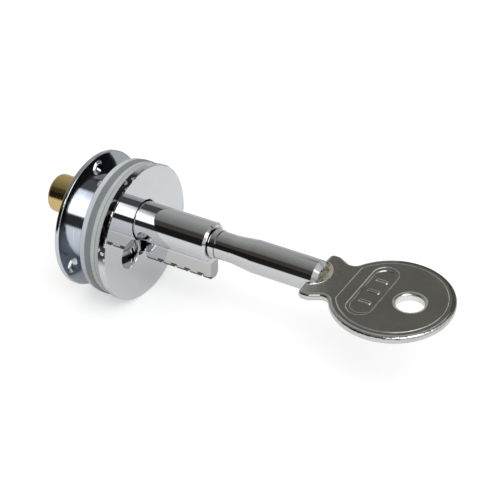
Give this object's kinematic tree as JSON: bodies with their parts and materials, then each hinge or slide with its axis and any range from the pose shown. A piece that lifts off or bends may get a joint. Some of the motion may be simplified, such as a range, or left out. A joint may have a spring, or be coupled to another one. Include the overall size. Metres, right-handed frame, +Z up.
{
  "type": "sliding glass door lock",
  "caption": "Key-operated plunger lock clamped through a hole in a sliding glass door, with a round-bow key.",
  "frame": {"origin": "centre of the hub, in the plane where the soft washer meets the outer glass face", "axes": "+Y through the glass towards the bolt, -Y towards the key, +Z up, +X to the right seen from the key"},
  "size_m": [0.036, 0.1121, 0.036],
  "materials": {
    "flange_chrome": "polished chrome plate",
    "disc_chrome": "mirror-polished chrome plate",
    "ring_metal": "satin grey metal",
    "washer_plastic": "soft milky clear plastic",
    "screw_steel": "plated steel",
    "bush_plastic": "black bearing plastic",
    "body_chrome": "polished chrome plate",
    "bolt_brass": "turned and polished brass",
    "pin_brass": "turned brass",
    "plug_brass": "nickel-plated brass",
    "hard_steel": "ground hard steel",
    "plug_steel": "plain steel",
    "cam_steel": "plain steel",
    "spring_steel": "drawn spring steel",
    "key_nickel": "bright nickel plate",
    "shank_nickel": "bright nickel plate",
    "blade_nickel": "nickel plate over brass"
  },
  "bodies": {
    "housing": {"rear_flange": "flange_chrome", "guide_bush": "bush_plastic", "glass_washer": "washer_plastic", "backing_ring": "ring_metal", "disc_washer": "washer_plastic", "front_disc": "disc_chrome", "disc_screws": "screw_steel"},
    "plunger": {"cylinder_body": "body_chrome", "bolt": "bolt_brass", "bolt_pin": "hard_steel", "driver_pins": "pin_brass", "pin_springs": "spring_steel", "chamber_plugs": "plug_steel"},
    "plug_group": {"plug": "plug_brass", "snap_ring": "spring_steel", "latch_cam": "cam_steel", "key_pins": "pin_brass"},
    "latch": {"latch_slug": "hard_steel"},
    "key": {"key_bow": "key_nickel", "key_shank": "shank_nickel", "key_blade": "blade_nickel"}
  },
  "joints": [
    {"name": "plunger_slide", "type": "slide", "parent": "housing", "child": "plunger", "axis": [0, -1, 0], "range_m": [0, 0.01035]},
    {"name": "plug_turn", "type": "hinge", "parent": "plunger", "child": "plug_group", "pos_m": [0, -0.028, 0.00375], "axis": [0, 1, 0], "range_deg": [0, 90]},
    {"name": "latch_throw", "type": "slide", "parent": "plunger", "child": "latch", "axis": [1, 0, 0], "range_m": [0, 0.00116]},
    {"name": "key_slide", "type": "slide", "parent": "plug_group", "child": "key", "axis": [0, -1, 0], "range_m": [0, 0.0205]}
  ],
  "couplings": [
    {"joint": "latch_throw", "follows": "plug_turn", "m_per_rad": 0.00073211}
  ]
}
